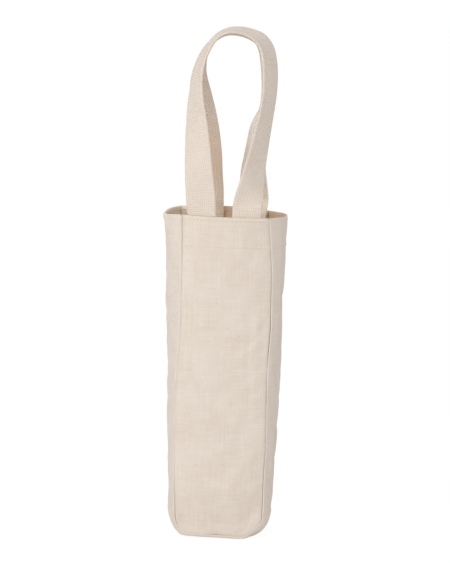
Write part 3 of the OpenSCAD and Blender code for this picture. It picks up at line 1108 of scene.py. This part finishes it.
def handle_piece(name, side, knots, bag):
    """One length of webbing: sewn inside the hem, up through its loop and down again"""
    ring = webbing_outline()
    grid = handle_sections(bag["front" if side < 0 else "back"], ring, knots, side)
    along = lengths_along(grid)
    raise_ribs(grid, ring, along)
    around = lengths_along(np.array(ring))
    bm = bmesh.new()
    grid_mesh(bm, grid, np.array([[(a, b) for a in around] for b in along]))
    merge(bm, 0.001 * MM)
    rims = [e for e in bm.edges if e.is_boundary]
    bmesh.ops.holes_fill(bm, edges=rims, sides=0)
    bmesh.ops.recalc_face_normals(bm, faces=bm.faces)
    obj = finished(name, bm, webbing)
    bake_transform(obj)
    return obj


# Materials


def node_group(name, inputs, outputs):
    """A group that takes a place and the inputs' values, and gives the outputs' values"""
    group = bpy.data.node_groups.new(name, "ShaderNodeTree")
    new = group.interface.new_socket
    new("Place", in_out="INPUT", socket_type="NodeSocketVector")
    for label, default in inputs.items():
        new(label, in_out="INPUT", socket_type="NodeSocketFloat").default_value = default
    for label in outputs:
        new(label, in_out="OUTPUT", socket_type="NodeSocketFloat")
    start = group.nodes.new("NodeGroupInput")
    end = group.nodes.new("NodeGroupOutput")
    return Wiring(group), start.outputs, end.inputs


class Wiring:
    """Short ways to place nodes in one tree"""

    def __init__(self, tree):
        self.tree = tree

    def put(self, socket, value):
        if isinstance(value, bpy.types.NodeSocket):
            self.tree.links.new(value, socket)
        elif value is not None:
            socket.default_value = value

    def fill(self, node, values):
        for label, value in values.items():
            self.put(node.inputs[label], value)
        return node

    def node(self, kind, *values):
        """A node, with its first inputs filled in order"""
        node = self.tree.nodes.new("ShaderNode" + kind)
        for socket, value in zip(node.inputs, values):
            self.put(socket, value)
        return node

    def math(self, kind, a, b=None):
        node = self.node("Math", a, b)
        node.operation = kind
        return node.outputs[0]

    def times(self, a, b):
        return self.math("MULTIPLY", a, b)

    def plus(self, a, b):
        return self.math("ADD", a, b)

    def range(self, value, low, high, to_low=0.0, to_high=1.0, kind="SMOOTHSTEP"):
        node = self.node("MapRange", value, low, high, to_low, to_high)
        node.interpolation_type = kind
        return node.outputs[0]

    def mix(self, share, a, b):
        node = self.tree.nodes.new("ShaderNodeMix")
        node.data_type = "RGBA"
        self.fill(node, {0: share, 6: a, 7: b})
        return node.outputs[2]

    def tint(self, colour, share, tint):
        return self.mix(share, colour, srgb(*tint))

    def split(self, vector):
        return self.node("SeparateXYZ", vector).outputs

    def scaled(self, vector, scale):
        node = self.node("VectorMath", vector, scale)
        node.operation = "MULTIPLY"
        return node.outputs[0]

    def noise(self, vector, scale, detail=2.0, roughness=0.5):
        values = {"Vector": vector, "Scale": scale, "Detail": detail, "Roughness": roughness}
        return self.fill(self.node("TexNoise"), values).outputs[0]

    def place(self):
        """The piece's own coordinates, x, y and z"""
        return self.split(self.node("TexCoord").outputs["Object"])

    def group(self, group, *values):
        node = self.tree.nodes.new("ShaderNodeGroup")
        node.node_tree = group
        self.fill(node, dict(enumerate(values)))
        return node.outputs


def make_weave_group():
    """Plain weave: each thread goes over one and under the next"""
    inputs = {"Across pitch": 0.5 * MM, "Along pitch": 0.5 * MM, "Unevenness": 0.2}
    w, given, made = node_group("plain weave", inputs, ["Height", "Gap"])
    x, y, _ = w.split(given["Place"])
    wander = w.math("SUBTRACT", w.noise(given["Place"], 260.0, 1.0), 0.5)
    wander = w.times(wander, given["Unevenness"])

    def wave(place, pitch):
        return w.math("SINE", w.times(w.plus(w.math("DIVIDE", place, pitch), wander), math.pi))

    a, b = wave(x, given["Across pitch"]), wave(y, given["Along pitch"])
    # A thread's round back, and where it passes over
    over = w.times(w.times(a, b), 0.5)
    warp = w.times(w.math("ABSOLUTE", a), w.plus(over, 0.5))
    weft = w.times(w.math("ABSOLUTE", b), w.math("SUBTRACT", 0.5, over))
    height = w.math("MAXIMUM", warp, weft)
    w.put(made["Height"], height)
    w.put(made["Gap"], w.range(height, 0.25, 0.6, 1.0, 0.0))
    return w.tree


def make_fleck_group():
    """Specks of seed husk and thick slubs, as raw cotton has them"""
    w, given, made = node_group("cotton flecks", {}, ["Speck", "Slub", "Mottle"])
    place = given["Place"]
    specks = {"Vector": w.scaled(place, (1.0, 1.6, 1.0)), "Scale": 210.0}
    cell = w.fill(w.node("TexVoronoi"), specks).outputs
    dot = w.range(cell["Distance"], 0.06, 0.2, 1.0, 0.0)
    few = w.range(w.split(cell["Color"])[0], 0.86, 0.9)
    w.put(made["Speck"], w.times(dot, few))
    weft_slub = w.noise(w.scaled(place, (45.0, 900.0, 1.0)), 1.0)
    warp_slub = w.noise(w.scaled(place, (900.0, 28.0, 1.0)), 1.0)
    w.put(made["Slub"], w.math("SUBTRACT", w.plus(weft_slub, warp_slub), 1.0))
    w.put(made["Mottle"], w.noise(place, 34.0, 4.0, 0.6))
    return w.tree


WEAVE = make_weave_group()
FLECKS = make_fleck_group()

# The colours, as red, green and blue out of 255
CANVAS_LIGHT = (230, 220, 210)
CANVAS_DEEP = (225, 214, 202)
CANVAS_SLUB = (238, 230, 221)
CANVAS_THIN = (213, 198, 182)
CANVAS_GAP = (204, 184, 163)
# The inside's colours are a warmer, deeper copy of the canvas: painted warm bounce light and
# shade of the bag's inside
INNER_LIGHT = (234, 207, 179)
INNER_DEEP = (228, 199, 169)
# Painted light on the inside's left corner
INNER_CORNER_PAINTED_LIGHT = (253, 240, 222)
SEAM_SHADE = (178, 152, 127)
# Painted shade in the needle holes between stitches
HOLE_SHADE_DEEP = (140, 112, 86)
HUSK = (172, 142, 112)
WEBBING_LIGHT = (236, 226, 216)
WEBBING_DEEP = (229, 218, 206)
WEBBING_GAP = (210, 190, 170)
# Painted light on the back handle: a warm painted bounce, painted light on its right leg, and the
# palest painted light near the mouth
WEBBING_PAINTED_WARM_BOUNCE = (234, 210, 187)
WEBBING_PAINTED_RIM_LIGHT = (253, 238, 218)
WEBBING_PAINTED_LIGHT = (255, 250, 242)
THREAD_LIGHT = (240, 234, 222)
THREAD_DEEP = (214, 200, 180)


def srgb(r, g, b):
    def line(c):
        c /= 255
        return c / 12.92 if c <= 0.04045 else ((c + 0.055) / 1.055) ** 2.4

    return (line(r), line(g), line(b), 1.0)


def new_material(name):
    material = bpy.data.materials.new(name)
    material.use_nodes = True
    tree = material.node_tree
    return material, Wiring(tree), tree.nodes["Principled BSDF"]


def bump(w, height, distance, strength, after=None):
    node = w.node("Bump")
    values = {"Strength": strength, "Distance": distance, "Height": height, "Normal": after}
    return w.fill(node, values).outputs[0]


def woven(w, light, deep, pitches):
    """A cotton cloth's place, weave, flecks and mottled colour. pitches are the threads'
    pitches across and along, and their unevenness."""
    node = w.node("UVMap")
    node.uv_map = "cloth"
    place = node.outputs[0]
    weave = w.group(WEAVE, place, *pitches)
    fleck = w.group(FLECKS, place)
    colour = w.mix(w.range(fleck["Mottle"], 0.3, 0.7), srgb(*deep), srgb(*light))
    return place, weave, fleck, colour


def finish(w, shader, colour, roughness, specular, normal, sheen=0.0):
    values = {"Base Color": colour, "Roughness": roughness, "Normal": normal}
    w.fill(shader, values | {"Specular IOR Level": specular})
    if sheen:
        w.fill(shader, {"Sheen Weight": sheen, "Sheen Roughness": 0.6})


CANVAS_WEAVE = (0.52 * MM, 0.56 * MM, 0.2)
WEBBING_WEAVE = (1.7 * MM, RIB_PITCH, 0.1)


def painted_corner_light(w, colour):
    """Painted light on the left side's inside near the rim, for the light that comes through the
    cloth there
    """
    x, _, z = w.place()
    aside = w.range(x, -38 * MM, -33.5 * MM, 1.0, 0.0)
    return w.tint(colour, w.times(aside, w.range(z, 240 * MM, 265 * MM)), INNER_CORNER_PAINTED_LIGHT)


def canvas_material(name, light, deep, darkest_seam, inside):
    material, w, shader = new_material(name)
    _, weave, fleck, colour = woven(w, light, deep, CANVAS_WEAVE)
    colour = w.tint(colour, w.range(fleck["Slub"], 0.02, 0.3, 0.0, 0.42), CANVAS_SLUB)
    colour = w.tint(colour, w.range(fleck["Slub"], -0.3, -0.02, 0.3, 0.0), CANVAS_THIN)
    colour = w.tint(colour, w.times(weave["Gap"], 0.3), CANVAS_GAP)
    colour = w.tint(colour, w.times(fleck["Speck"], 0.28), HUSK)
    seam = w.node("Attribute")
    seam.attribute_name = "seam"
    shade = w.range(seam.outputs["Fac"], 0.0, 1.0, 0.0, darkest_seam)
    colour = w.tint(colour, shade, SEAM_SHADE)
    # The inside gets painted light at its left corner
    if inside:
        colour = painted_corner_light(w, colour)
    rough = w.range(weave["Height"], 0.0, 1.0, 0.97, 0.86, "LINEAR")
    slubs = bump(w, fleck["Slub"], 0.35 * MM, 0.5)
    normal = bump(w, weave["Height"], 0.12 * MM, 0.55, slubs)
    finish(w, shader, colour, rough, 0.22, normal, 0.12)
    return material


def back_handle_painted_light(w, colour):
    """Painted light on the back handle: a warm painted bounce low on its left leg, painted light
    on its right leg, and the palest painted light at the mouth
    """
    x, y, z = w.place()
    behind = w.range(y, 12 * MM, 28 * MM, 0.0, 0.8)
    low = w.times(behind, w.range(z, 320 * MM, 390 * MM, 1.0, 0.0))
    left = w.times(low, w.range(x, -5 * MM, 10 * MM, 1.0, 0.0))
    colour = w.tint(colour, left, WEBBING_PAINTED_WARM_BOUNCE)
    right = w.times(behind, w.range(x, 12 * MM, 22 * MM))
    colour = w.tint(colour, right, WEBBING_PAINTED_LIGHT)
    rim = w.times(behind, w.range(z, 280 * MM, 325 * MM, 1.0, 0.0))
    return w.tint(colour, rim, WEBBING_PAINTED_RIM_LIGHT)


def webbing_material():
    """Heavy webbing, in a plain weave of thick soft threads"""
    material, w, shader = new_material("natural cotton webbing")
    place, weave, fleck, colour = woven(w, WEBBING_LIGHT, WEBBING_DEEP, WEBBING_WEAVE)
    fibre = w.noise(w.scaled(place, (2600.0, 500.0, 1.0)), 1.0)
    colour = w.tint(colour, w.times(weave["Gap"], 0.55), WEBBING_GAP)
    colour = w.tint(colour, w.times(fibre, 0.12), WEBBING_GAP)
    colour = w.tint(colour, w.times(fleck["Speck"], 0.3), HUSK)
    rough = w.range(weave["Height"], 0.0, 1.0, 0.96, 0.82, "LINEAR")
    fibres = bump(w, fibre, 0.15 * MM, 0.4)
    normal = bump(w, weave["Height"], 0.45 * MM, 0.8, fibres)
    # The back handle gets painted light and a warm painted bounce by its place
    finish(w, shader, back_handle_painted_light(w, colour), rough, 0.25, normal, 0.12)
    return material


def thread_material():
    """Two-ply sewing thread, its twist seen as slanting bands"""
    material, w, shader = new_material("cotton thread")
    x, y, z = w.place()
    slant = w.plus(w.plus(x, y), w.times(z, 1.6))
    twist = w.math("SINE", w.times(slant, 2 * math.pi / (0.5 * MM)))
    twist = w.plus(w.times(twist, 0.5), 0.5)
    colour = w.mix(twist, srgb(*THREAD_DEEP), srgb(*THREAD_LIGHT))
    rough = w.range(twist, 0.0, 1.0, 0.85, 0.7, "LINEAR")
    finish(w, shader, colour, rough, 0.3, bump(w, twist, 0.08 * MM, 0.5))
    return material


def needle_hole_material():
    """Painted shade for the pit that a needle leaves between two stitches"""
    material, w, shader = new_material("painted needle hole shade")
    fibre = w.noise(w.node("TexCoord").outputs["Object"], 2400.0)
    colour = w.mix(fibre, srgb(*HOLE_SHADE_DEEP), srgb(*SEAM_SHADE))
    finish(w, shader, colour, 1.0, 0.0, bump(w, fibre, 0.1 * MM, 0.5))
    return material


# Build

canvas = canvas_material("natural cotton canvas", CANVAS_LIGHT, CANVAS_DEEP, 0.75, False)
# The inside is a painted warmer, deeper copy of the canvas, for the bag's shaded inside
inner_canvas = canvas_material("canvas inside", INNER_LIGHT, INNER_DEEP, 0.2, True)
webbing = webbing_material()
thread = thread_material()
needle_hole_shade = needle_hole_material()

bag = bag_cloths()
front_cloth = panel_piece("front_panel_cloth", -1, bag)
back_cloth = panel_piece("back_panel_cloth", 1, bag)
gusset_cloth = gusset_piece("gusset_cloth", bag)
front_handle = handle_piece("front_handle_webbing", -1, FRONT_KNOTS, bag)
back_handle = handle_piece("back_handle_webbing", 1, BACK_KNOTS, bag)
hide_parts("front_panel")
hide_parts("back_panel")
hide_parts("gusset_strip")
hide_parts("front_handle_loop", "front_handle_ends")
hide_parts("back_handle_loop", "back_handle_ends")
stitching("rim_topstitching", bag, TOPSTITCH_DROP, "rim_topstitch")
stitching("hem_stitching", bag, HEM_ROW_DROP, "hem_stitch")
overlock("front_overlock_thread", -1, bag, "front_seam_thread")
overlock("back_overlock_thread", 1, bag, "back_seam_thread")


# Stage, light and camera

AMBIENT = 0.68
CAMERA_AIM = (-0.0002, 0, 0.2202)
CAMERA_DISTANCE = 2.0
CAMERA_LENS = 146.3
# Degrees to the right of the front, above it, and rolled
CAMERA_TURNS = (3.2, 7.3, 1.11)


def white_to_camera(tree, output, plain, white, share):
    """Shows white to the camera, also in mirrors and through glass, in place of plain"""
    w = Wiring(tree)
    ray = w.node("LightPath").outputs
    seen = w.math("MAXIMUM", ray["Is Camera Ray"], ray["Is Glossy Ray"])
    seen = w.times(w.math("MAXIMUM", seen, ray["Is Transmission Ray"]), share)
    choose = w.node("MixShader", seen, plain.outputs[0], white.outputs[0])
    w.put(tree.nodes[output].inputs[0], choose.outputs[0])


def studio():
    world = bpy.data.worlds.new("studio")
    bpy.context.scene.world = world
    world.use_nodes = True
    tree = world.node_tree
    soft = tree.nodes["Background"]
    soft.inputs["Color"].default_value = (1.0, 0.985, 0.985, 1.0)
    soft.inputs["Strength"].default_value = AMBIENT
    white = Wiring(tree).node("Background", (1, 1, 1, 1), 1.0)
    white_to_camera(tree, "World Output", soft, white, 1.0)


def softbox(name, place, aim, size, power, colour):
    lamp = bpy.data.lights.new(name, "AREA")
    lamp.size = size
    lamp.energy = power
    lamp.color = colour
    obj = bpy.data.objects.new(name, lamp)
    bpy.context.scene.collection.objects.link(obj)
    obj.location = place
    obj.rotation_mode = "QUATERNION"
    way = Vector(aim) - Vector(place)
    obj.rotation_quaternion = way.to_track_quat("-Z", "Y")


def floor_piece():
    bm = bmesh.new()
    bmesh.ops.create_grid(bm, x_segments=4, y_segments=4, size=3.0)
    material, w, shader = new_material("pale floor")
    shader.inputs["Base Color"].default_value = (0.9, 0.89, 0.88, 1)
    shader.inputs["Roughness"].default_value = 0.9
    glow = w.node("Emission", (1, 1, 1, 1), 1.07)
    white_to_camera(w.tree, "Material Output", shader, glow, 0.86)
    floor = finished("floor", bm, material)
    floor.location.z = -0.3 * MM


def camera():
    yaw, rise, roll = (math.radians(a) for a in CAMERA_TURNS)
    level = math.cos(rise)
    back = Vector((math.sin(yaw) * level, -math.cos(yaw) * level, math.sin(rise)))
    right = Vector((math.cos(yaw), math.sin(yaw), 0))
    up = back.cross(right)
    turned_right = right * math.cos(roll) + up * math.sin(roll)
    turned_up = up * math.cos(roll) - right * math.sin(roll)
    place = Matrix((turned_right, turned_up, back)).transposed().to_4x4()
    place.translation = Vector(CAMERA_AIM) + back * CAMERA_DISTANCE
    lens = bpy.data.cameras.new("camera")
    lens.sensor_width = 36
    lens.lens = CAMERA_LENS
    lens.clip_start = 0.1
    obj = bpy.data.objects.new("camera", lens)
    obj.matrix_world = place
    bpy.context.scene.collection.objects.link(obj)
    bpy.context.scene.camera = obj


studio()
floor_piece()
softbox("key", (-1.55, -1.3, 1.58), (0, 0, 0.22), 1.3, 11.8, (0.985, 1, 1))
softbox("front", (0, -2.4, 0.45), (0, 0, 0.22), 1.6, 11.4, (1, 0.995, 0.99))
softbox("overhead", (-0.45, -1.25, 1.9), (0, 0, 0.28), 1.0, 3.8, (1, 1, 1))
camera()
bpy.context.scene.view_settings.view_transform = "Standard"
